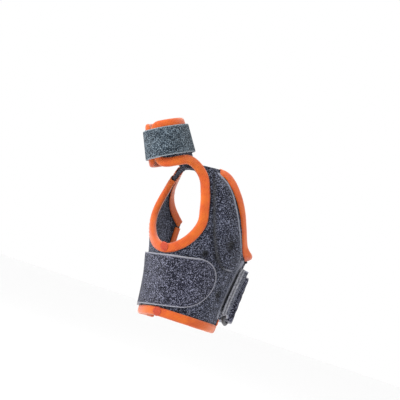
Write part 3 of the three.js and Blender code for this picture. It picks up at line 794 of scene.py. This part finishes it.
def stitchRow(name, points, outs, ins, along, lower=None):
    steps = np.concatenate([[0], np.cumsum(np.linalg.norm(np.diff(points, axis=0), axis=1))])
    at = np.arange(thread["gap"] / 2, steps[-1], thread["gap"])
    pick = lambda values: np.stack([np.interp(at, steps, values[:, k]) for k in range(3)], 1)
    p, o, i, a = pick(points), unit(pick(outs)), unit(pick(ins)), unit(pick(along))
    down = 0 if lower is None else np.interp(at, steps, lower)[:, None]
    depth = tape["wide"] - tape["seamIn"]
    return stitches(name, p + i * depth + o * (laminate + tape["threadOut"] - down), a, o)


tapes = []
rows = []


def bind(name, skin, u, v, inward, *nodes):
    points, outs, ins, along = frameAlong(skin, u, v, inward)
    tapes.append(dress(foldedTape(name, points, outs, ins), "tape", *nodes))
    rows.append(dress(stitchRow(name + "Stitches", points, outs, ins, along), "tape"))


wristAngles = np.linspace(wrap["backEnd"], wrap["palmEnd"], 200)
bind("wristTape", handSkin, wristAngles, lowerEdge(wristAngles), -1, "wrist_binding")
endHeights = np.linspace(tape["wide"] + 0.2, tape["wide"] + 4.6, 16)
bind("backCornerTape", handSkin, np.full(16, wrap["backEnd"]), endHeights, 1)
endHeights = np.linspace(tape["wide"] + 5.2, upperEdge(wrap["backEnd"]) - 0.6, 60)
points, outs, ins, along = frameAlong(handSkin, np.full(60, wrap["backEnd"]), endHeights, 1)
backHem = dress(
    foldedTape("backHem", points, outs, ins, look=litHemVelour, wide=4.0), "velour", "back_end_binding"
)
endHeights = np.linspace(tape["wide"] + 0.2, upperEdge(wrap["palmEnd"]) - 4.6, 70)
bind("palmEndTape", handSkin, np.full(70, wrap["palmEnd"]), endHeights, -1, "palm_end_binding")
knuckleAngles = np.linspace(-9.5, -101, 150)
bind("knuckleTape", handSkin, knuckleAngles, upperEdge(knuckleAngles), 1, "knuckle_binding")
palmAngles = np.linspace(-156, wrap["palmEnd"], 110)
bind("palmTape", handSkin, palmAngles, upperEdge(palmAngles), 1, "palm_binding")
print("stage: edges bound")


# the collar, a C whose ends meet at the front left
collarStart = collar["gapAt"] - 360 + math.degrees(collar["gap"] / 2 / thumbForm["radius"])
collarEnd = collar["gapAt"] - math.degrees(collar["gap"] / 2 / thumbForm["radius"])
degreeOf = math.degrees(1 / (thumbForm["radius"] + 1.2))  # one mm round the collar


def cornerDip(turn):  # how far the rounded corners draw the edges in
    near = np.minimum(turn - collarStart, collarEnd - turn) / degreeOf
    c = collar["corner"]
    return c - np.sqrt(np.maximum(c * c - np.maximum(c - near, 0) ** 2, 0))


def collarSink(turn):  # the lower edge sinks towards the neck
    return collar["sink"] * ease((turn + 150) / 58) * (1 - ease((turn + 20) / 60))


def collarLow(turn):
    front = ease((turn - collar["neckFront"]) / collar["neckEase"])
    back = ease((collar["neckBack"] - turn) / collar["neckEase"])
    neck = np.minimum(front, back)
    return collar["low"] - collarSink(turn) * (1 - neck) - collar["neckDrop"] * neck + cornerDip(turn)


def collarPlace(u, v):
    turn = collarStart + (collarEnd - collarStart) * u
    low, high = collarLow(turn), collar["high"] - cornerDip(turn)
    height = low + (high - low) * v
    fromEdge = np.minimum.reduce([height - low, high - height, np.minimum(u, 1 - u) * 74])
    tucked = 2.4 * ease((-height - 4.5) / 4)  # the neck goes in under the wrap's edge
    return onForm(thumbSkin, turn, height, collar["thick"] + 0.3 * ease((fromEdge - 3.6) / 2) - tucked)


collarSheet = gridMesh(150, 40, (83, 25), collarPlace)
laminateLooks = [wrapVelour, liningVelour, darkCut]
collarPiece = dress(
    finishPiece("collar", collarSheet, laminateLooks, thickness=collar["thick"], side=-1, rim=2, soften=0),
    "velour",
    "thumb_collar",
)


# one long tape: collar's lower edge behind, end, top, other end, lower edge in front, then the thumb hole
thumbLoop = {"holeFrom": 0.40, "holeTo": 0.17, "behind": 62, "meet": -52}


def collarOutline():
    c, low, high = collar["corner"], collar["low"], collar["high"]
    bend = np.radians(np.linspace(0, 90, 12))[1:-1]
    path = [(t, low) for t in np.linspace(thumbLoop["behind"], collarEnd - c * degreeOf, 60)]
    path += [(collarEnd + (c * np.sin(b) - c) * degreeOf, low + c - c * np.cos(b)) for b in bend]
    path += [(collarEnd, h) for h in np.linspace(low + c, high - c, 16)]
    path += [(collarEnd + (c * np.cos(b) - c) * degreeOf, high - c + c * np.sin(b)) for b in bend]
    path += [(t, high) for t in np.linspace(collarEnd - c * degreeOf, collarStart + c * degreeOf, 150)]
    path += [(collarStart + (c - c * np.sin(b)) * degreeOf, high - c + c * np.cos(b)) for b in bend]
    path += [(collarStart, h) for h in np.linspace(high - c, low + c, 16)]
    path += [(collarStart + (c - c * np.cos(b)) * degreeOf, low + c - c * np.sin(b)) for b in bend]
    path += [(t, low) for t in np.linspace(collarStart + c * degreeOf, thumbLoop["meet"], 50)]
    path = np.array(path)
    ahead = path[:, 0] < thumbLoop["meet"] + 1
    path[:, 1] -= np.where(
        ahead & (path[:, 1] < 12), collarSink(path[:, 0]) * (1 - (path[:, 1] - low) / 12), 0
    )
    return path


def resample(step, *fields):
    lengths = np.concatenate([[0], np.cumsum(np.linalg.norm(np.diff(fields[0], axis=0), axis=1))])
    at = np.linspace(0, lengths[-1], int(lengths[-1] / step) + 1)
    return [np.stack([np.interp(at, lengths, f[:, k]) for k in range(f.shape[1])], 1) for f in fields]


def squareUp(points, outs, towards):  # a frame along a path: out of the cloth, and in from its edge
    tangent = unit(np.gradient(points, axis=0))
    outs = unit(outs - tangent * np.sum(outs * tangent, 1)[:, None])
    ins = np.cross(outs, tangent)
    if np.dot(ins[0], towards) < 0:
        ins = -ins
    return points, outs, ins, tangent


def thumbTape():
    path = collarOutline()
    cPoints, cOuts = thumbSkin(path[:, 0], path[:, 1]), outward(thumbSkin, path[:, 0], path[:, 1])
    n = len(holeLoop)
    index = np.arange(int((1 + thumbLoop["holeTo"]) * n), int(thumbLoop["holeFrom"] * n), -1) % n
    u, v = holeLoop[index, 0] / squash, holeLoop[index, 1]
    hPoints, hOuts = handSkin(u, v), outward(handSkin, u, v)
    start, finish = cPoints[-1], hPoints[0]
    reach = np.linalg.norm(finish - start)
    s = np.linspace(0, 1, 30)[1:-1, None]
    leave, arrive = unit(cPoints[-1] - cPoints[-2]) * reach, unit(hPoints[1] - hPoints[0]) * reach
    bridge = sweep(s, start, leave, finish, arrive)
    outs = unit((1 - ease(s)) * cOuts[-1] + ease(s) * hOuts[0])
    thin = np.concatenate([np.ones(len(cPoints)), 1 - ease(s[:, 0]), np.zeros(len(hPoints))])[:, None]
    points, outs, thin = resample(
        0.55, np.vstack([cPoints, bridge, hPoints]), np.vstack([cOuts, outs, hOuts]), thin
    )
    return (*squareUp(points, outs, thumbAxis), thin[:, 0])


points, outs, ins, tangent, thin = thumbTape()
collarBindings = ["collar_front_binding", "collar_behind_binding", "collar_top_binding", "neck_binding"]
tapes.append(
    dress(
        foldedTape("thumbTape", points, outs, ins, cloths=thin), "tape", "hole_binding", *collarBindings
    )
)
thinner = thin * (laminate - collar["thick"])
rows.append(dress(stitchRow("thumbTapeStitches", points, outs, ins, tangent, lower=thinner), "tape"))
print("stage: collar and thumb hole bound")


# straps
def band(name, size, places, finish):  # cloth laid through places, rounded at its last end if it has a tip
    long, wide, tip = size["long"], size["wide"], size["tip"]

    def rowAt(across, t):
        line = np.array([place(across) for place in places])
        steps = np.concatenate([[0], np.cumsum(np.linalg.norm(np.diff(line, axis=0), axis=1) ** 0.5)])
        fine = np.stack(
            [through(steps, line[:, k], np.linspace(0, steps[-1], 1200)) for k in range(3)], 1
        )
        length = np.concatenate([[0], np.cumsum(np.linalg.norm(np.diff(fine, axis=0), axis=1))])
        return np.stack([np.interp(t * length[-1], length, fine[:, k]) for k in range(3)], 1)

    def laid(u, v):
        straight = 1 - tip / long
        last = 0.14 if tip else 0  # share of the columns that make the tip
        turn = np.clip((u - 1 + last) / max(last, 1e-6), 0, 1) * math.pi / 2
        t = np.where(u < 1 - last, u / (1 - last) * straight, straight + (1 - straight) * np.sin(turn))
        half = wide / 2 * np.where(u < 1 - last, 1, np.cos(turn))
        grid = np.linspace(-wide / 2, wide / 2, 13)
        ts = np.unique(np.round(t, 7))
        table = np.stack([rowAt(a, ts) for a in grid])
        across = half * (2 * v - 1)
        i = np.searchsorted(ts, np.round(t, 7))
        f = (across + wide / 2) / wide * 12
        j = np.clip(np.floor(f).astype(int), 0, 11)
        k = (f - j)[:, None]
        placed = table[j, i] * (1 - k) + table[j + 1, i] * k
        along = np.where(u < 1 - last, u / (1 - last) * (long - tip), long - tip + tip * np.sin(turn))
        beyond = np.maximum(along - (long - tip), 0)
        sideways = wide / 2 - np.abs(across)
        fromTip = tip - np.hypot(beyond, np.abs(across) * tip / (wide / 2)) if tip else sideways
        fromEdge = np.where(beyond > 0, np.minimum(fromTip * 1.1, sideways + 2), sideways)
        return placed, np.minimum(fromEdge, along + 0.01)

    bm = gridMesh(*size["grid"], (long, wide), laid)
    bmesh.ops.remove_doubles(bm, verts=bm.verts, dist=2e-6)
    return finishPiece(name, bm, [finish, cutEdge, cutEdge], thickness=size["thick"], rim=1, soften=0.35)


strap = {
    "long": 250,
    "wide": 33,
    "thick": 1.8,
    "tip": 18,
    "grid": (300, 30),
    "turn": 2.5,  # radius round the ring's bar
    "under": [  # from its sewn end to the ring: angle, share of the form's height, offset
        (-216, 0.185, 5.1), (-226, 0.19, 5.1), (-236, 0.195, 5.1), (-250, 0.205, 2.6),
        (-266, 0.215, 1.5), (-290, 0.225, 1.5), (-312, 0.235, 1.9),
    ],
    "over": [  # back from the ring to its loose end
        (-312, 0.235, 6.4), (-290, 0.225, 4.1), (-266, 0.215, 4.1), (-250, 0.205, 5.4),
        (-236, 0.195, 7.3), (-224, 0.19, 7.4), (-210, 0.185, 7), (-194, 0.19, 4.6),
        (-174, 0.197, 3.95), (-150, 0.206, 3.95), (-122, 0.226, 3.95), (-98, 0.247, 3.9),
        (-78, 0.268, 3.85), (-57, 0.288, 3.85),
    ],
}
ring = {
    "angle": 14,
    "height": 27.8,
    "offset": 5.1,
    "bar": 2.6,
    "slot": 6.6,
    "tilt": -12,
    "corner": 3,
    "lean": 34,
}
ringPlace = onForm(handSkin, ring["angle"], ring["height"], ring["offset"])
ringOut = outward(handSkin, ring["angle"], ring["height"])
ringAlong = unit(np.array([0, 0, 1]) - ringOut * ringOut[2])
tilt = math.radians(ring["tilt"])
ringAlong = ringAlong * math.cos(tilt) + np.cross(ringOut, ringAlong) * math.sin(tilt)
ringAcross = unit(np.cross(ringAlong, ringOut))
ringBars = (ring["slot"] + ring["bar"]) / 2
ringHalf = strap["wide"] / 2 + 0.8 + ring["bar"] / 2


def inRing(u, out, along):
    u, out, along = (np.asarray(x, float)[..., None] for x in (u, out, along))
    lean = math.radians(ring["lean"])  # about the bar that the tab holds
    fromBar = u + ringBars
    u = fromBar * math.cos(lean) - out * math.sin(lean) - ringBars
    out = fromBar * math.sin(lean) + out * math.cos(lean)
    return ringPlace + ringAcross * u + ringOut * out + ringAlong * along


def makeRing():
    c = ring["corner"]
    path = []
    x, z = ringBars - c, ringHalf - c
    for x, z, first in [(x, z, 0), (-x, z, 90), (-x, -z, 180), (x, -z, 270)]:
        turns = [math.radians(first + t) for t in range(0, 91, 9)]
        path += [(x + c * math.cos(t), z + c * math.sin(t), t) for t in turns]
    path = np.array(path + path[:1])
    path[-1, 2] += 2 * math.pi

    def place(u, v):
        i = np.rint(u * (len(path) - 1)).astype(int)
        a = v * 2 * math.pi
        r = ring["bar"] / 2
        x, z, out = path[i].T
        reach = r * np.cos(a)
        return inRing(x + reach * np.cos(out), r * np.sin(a) * 0.9, z + reach * np.sin(out))

    bm = gridMesh(len(path) - 1, 20, (110, 9.4), place, closed=True)
    bmesh.ops.recalc_face_normals(bm, faces=bm.faces)
    return finishPiece("strapRing", bm, [ringPlastic], soften=0)


ringPiece = dress(makeRing(), "ring", "strap_ring")


def onHand(angle, height, offset):
    return lambda across: onForm(handSkin, angle, height * tall + across, offset)


def roundBar(bar, side, radius):
    def placeAt(turn):
        return lambda across: inRing(
            bar + side * radius * math.cos(turn), radius * math.sin(turn), across
        )

    return [placeAt(turn) for turn in np.radians([-90, -60, -30, 0, 30, 60, 90])]


strapPlaces = [onHand(*p) for p in strap["under"]]
strapPlaces += roundBar(ringBars, -1, strap["turn"])
strapPlaces += [onHand(*p) for p in strap["over"]]
strapPiece = dress(band("wristStrap", strap, strapPlaces, strapVelour), "strap", "wrist_strap")

tab = {
    "long": 45,
    "wide": 32,
    "thick": 1.4,
    "tip": 0,
    "grid": (60, 24),
    "turn": 2.05,
    "angles": [-20, -12, -3],
    "height": 30.5,
    "under": 5.4,  # offsets of its two legs
    "over": 7.1,
}
tabPlaces = [onHand(a, tab["height"] / tall, tab["under"]) for a in tab["angles"]]
tabPlaces += roundBar(-ringBars, 1, tab["turn"])
tabPlaces += [onHand(a, tab["height"] / tall, tab["over"]) for a in reversed(tab["angles"])]
tabPiece = dress(band("ringTab", tab, tabPlaces, wrapVelour), "velour", "ring_tab")

thumbStrap = {
    "long": 112,
    "wide": 18.2,
    "thick": 1.2,
    "tip": 0,
    "grid": (180, 18),
    "height": 13.9,
    "offset": 3.95,
    "end": -146,
    "lap": 30,
    "climb": {"by": 1.5, "over": 50, "before": 62},  # up on its own first turn: mm, then degrees
}


def onThumb(turn, offset):
    return lambda across: onForm(thumbSkin, turn, thumbStrap["height"] + across, offset)


def thumbStrapPlaces():
    whole = 360 + thumbStrap["lap"]
    turns = np.linspace(0, whole, 40)
    climb = thumbStrap["climb"]
    start = whole - thumbStrap["lap"] - climb["before"]
    offsets = thumbStrap["offset"] + climb["by"] * ease(turns / climb["over"] - start / climb["over"])
    first = thumbStrap["end"] + thumbStrap["lap"]
    return [onThumb(first - t, offset) for t, offset in zip(turns, offsets)]


thumbStrapPiece = dress(
    band("thumbStrap", thumbStrap, thumbStrapPlaces(), thumbVelour), "thumb_strap", "thumb_strap"
)
print("stage: straps laid")


# the pocket's cloth, from its left side to its right and from foot to crest
def pocketPlace(u, v):
    left, right = (pocketSide(name, v + 0.35 * v * (v - 1) * (1 - v)) for name in ("left", "right"))
    share = (1 - np.cos(np.pi * u)) / 2
    angle, height = (right[k] * (1 - share) + left[k] * share for k in (0, 1))
    points = handSkin(angle, height)
    fromLeft = np.linalg.norm(points - handSkin(*left), axis=1)
    fromRight = np.linalg.norm(points - handSkin(*right), axis=1)
    fromFoot = np.maximum(height - pocket["foot"], 0)
    toCrest = np.maximum(upperEdge(angle) - height - pocket["crest"], 0)
    inFrom = np.minimum.reduce([fromLeft + 0.02, fromRight, fromFoot * 0.9 + np.abs(share - 0.5) * 2])
    rise = through(pocket["rise"]["in"], pocket["rise"]["up"], inFrom) * (0.12 + 0.88 * ease(toCrest / 7))
    deep, broad = dimpleAt(angle, height)
    # painted shade along the pocket's left seam
    seamShade = 0.75 * np.exp(-(fromLeft**2))
    # painted highlight: a pale line about 0.95 mm in from the pocket's right side and foot; the left side
    # above 46 mm gets none
    rim = np.abs(np.minimum(fromRight, fromFoot * 1.6) - 0.95) * 0.85
    fromEdge = np.where((fromLeft < fromRight) & (height > 46), inFrom + 1.0, rim)
    out = laminate + pocket["above"] + rise - 1.3 * deep - 0.5 * broad
    # painted shade: an even 0.2 over the whole pocket, more along the left seam and in the dimples
    pressed = np.clip(0.2 + seamShade + deep * 1.4 + broad * 0.2, 0, 1)
    return onForm(handSkin, angle, height, out), fromEdge, pressed


pocketSheet = gridMesh(56, 150, (20, 58), pocketPlace)
pocketPiece = dress(
    finishPiece(
        "stayPocket", pocketSheet, [wrapVelour, cutEdge, darkCut], thickness=0.8, side=-1, rim=1, soften=0
    ),
    "velour",
    "stay_pocket",
)
print("stage: pocket sewn on")


# round tacks on the tape: a low disc of thread under ten long stitches
tack = {
    "broad": 6.2,
    "low": 0.9,
    "sink": 0.15,
    "stitched": 2.9,
    "rows": 10,
    "reach": 2.5,
    "row": 0.85,
    "out": 1.0,
}


def makeTack(name, angle, height):
    centre, normal = onForm(
        handSkin, angle, height, laminate + tack["out"]
    ), outward(handSkin, angle, height)
    across = unit(np.cross([0, 0, 1], normal))
    upward = np.cross(normal, across)
    bm = bmesh.new()
    for at in np.linspace(-tack["reach"], tack["reach"], tack["rows"]):
        long = 2 * math.sqrt(max(tack["stitched"] ** 2 - at * at, 0.4))
        made = bmesh.ops.create_uvsphere(bm, u_segments=8, v_segments=6, radius=0.5)["verts"]
        for v in made:
            x, y, z = v.co
            v.co = Vector(
                centre + across * at + upward * z * long + across * x * tack["row"] + normal * y
            ) * mm
    base = bmesh.ops.create_uvsphere(bm, u_segments=24, v_segments=12, radius=0.5)["verts"]
    for v in base:
        x, y, z = v.co
        flat = (across * x + upward * z) * tack["broad"]
        v.co = Vector(centre + flat + normal * (y * tack["low"] - tack["sink"])) * mm
    bmesh.ops.recalc_face_normals(bm, faces=bm.faces)
    return finishPiece(name, bm, [tackThread], soften=0)


dress(makeTack("holeTack", -128, 0.421 * tall), "thread", "hole_tack")
dress(makeTack("wristTack", -120, 3.2), "thread", "wrist_tack")
print("stage: tacks sewn")

tapes + rows + [backHem]

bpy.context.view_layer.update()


# studio
studio = {
    "elevation": -4.5,
    "roll": 18.5,
    "away": 0.9,
    "aim": (-0.0101, -0.025, 0.0786),
    "lens": 126.6,
    "lamps": {  # towards the camera, right, up; distance, size, power
        "key": ((0.8, -0.8, 1.1), 0.8, 0.35, 13),
        "fill": ((0.5, 1.2, 0.2), 0.9, 0.6, 4.5),
        "rim": ((-0.5, 0.8, 0.7), 0.8, 0.4, 5),
    },
    "floor": {"radius": 60, "drop": 0.11, "color": (0.97, 0.97, 0.97)},
}


def turnTo(azimuth, elevation, roll):
    a, e, r = (math.radians(x) for x in (azimuth, elevation, roll))
    back = Vector((math.sin(a) * math.cos(e), -math.cos(a) * math.cos(e), math.sin(e)))
    right = Vector((math.cos(a), math.sin(a), 0))
    up = back.cross(right)
    return back, right * math.cos(r) + up * math.sin(r), up * math.cos(r) - right * math.sin(r)


def lamp(name, direction, distance, size, power):
    light = bpy.data.lights.new(name, "AREA")
    light.shape = "DISK"
    light.size = size
    light.energy = power
    holder = bpy.data.objects.new(name, light)
    aim = Vector(studio["aim"])
    holder.location = aim + Vector(direction).normalized() * distance
    holder.rotation_euler = (aim - holder.location).to_track_quat("-Z", "Y").to_euler()
    bpy.context.collection.objects.link(holder)


def setStudio():
    back, right, up = turnTo(0, studio["elevation"], studio["roll"])
    camera = bpy.data.objects.new("camera", bpy.data.cameras.new("camera"))
    camera.data.lens, camera.data.sensor_width = studio["lens"], 36
    camera.data.clip_start, camera.data.clip_end = 0.05, 50
    camera.location = Vector(studio["aim"]) + back * studio["away"]
    matrix = camera.matrix_world.to_3x3()
    matrix.col[0], matrix.col[1], matrix.col[2] = right, up, back
    camera.rotation_euler = matrix.to_euler()
    bpy.context.collection.objects.link(camera)
    bpy.context.scene.camera = camera
    for name, (way, distance, size, power) in studio["lamps"].items():
        lamp(name, back * way[0] + right * way[1] + up * way[2], distance, size, power)
    ground = studio["floor"]
    bm = bmesh.new()
    bmesh.ops.create_circle(bm, cap_ends=True, segments=96, radius=ground["radius"])
    bmesh.ops.translate(bm, verts=bm.verts, vec=(0, 0, -ground["drop"]))
    floor = finishPiece("floor", bm, [Finish("paleFloor").coat(ground["color"])], soften=0)
    world = bpy.data.worlds.new("studio")
    bpy.context.scene.world = world
    world.use_nodes = True
    world.node_tree.nodes["Background"].inputs[0].default_value = (1, 1, 1, 1)
    world.node_tree.nodes["Background"].inputs[1].default_value = 1.0
    bpy.context.scene.view_settings.view_transform = "Standard"


setStudio()
print("stage: studio set")
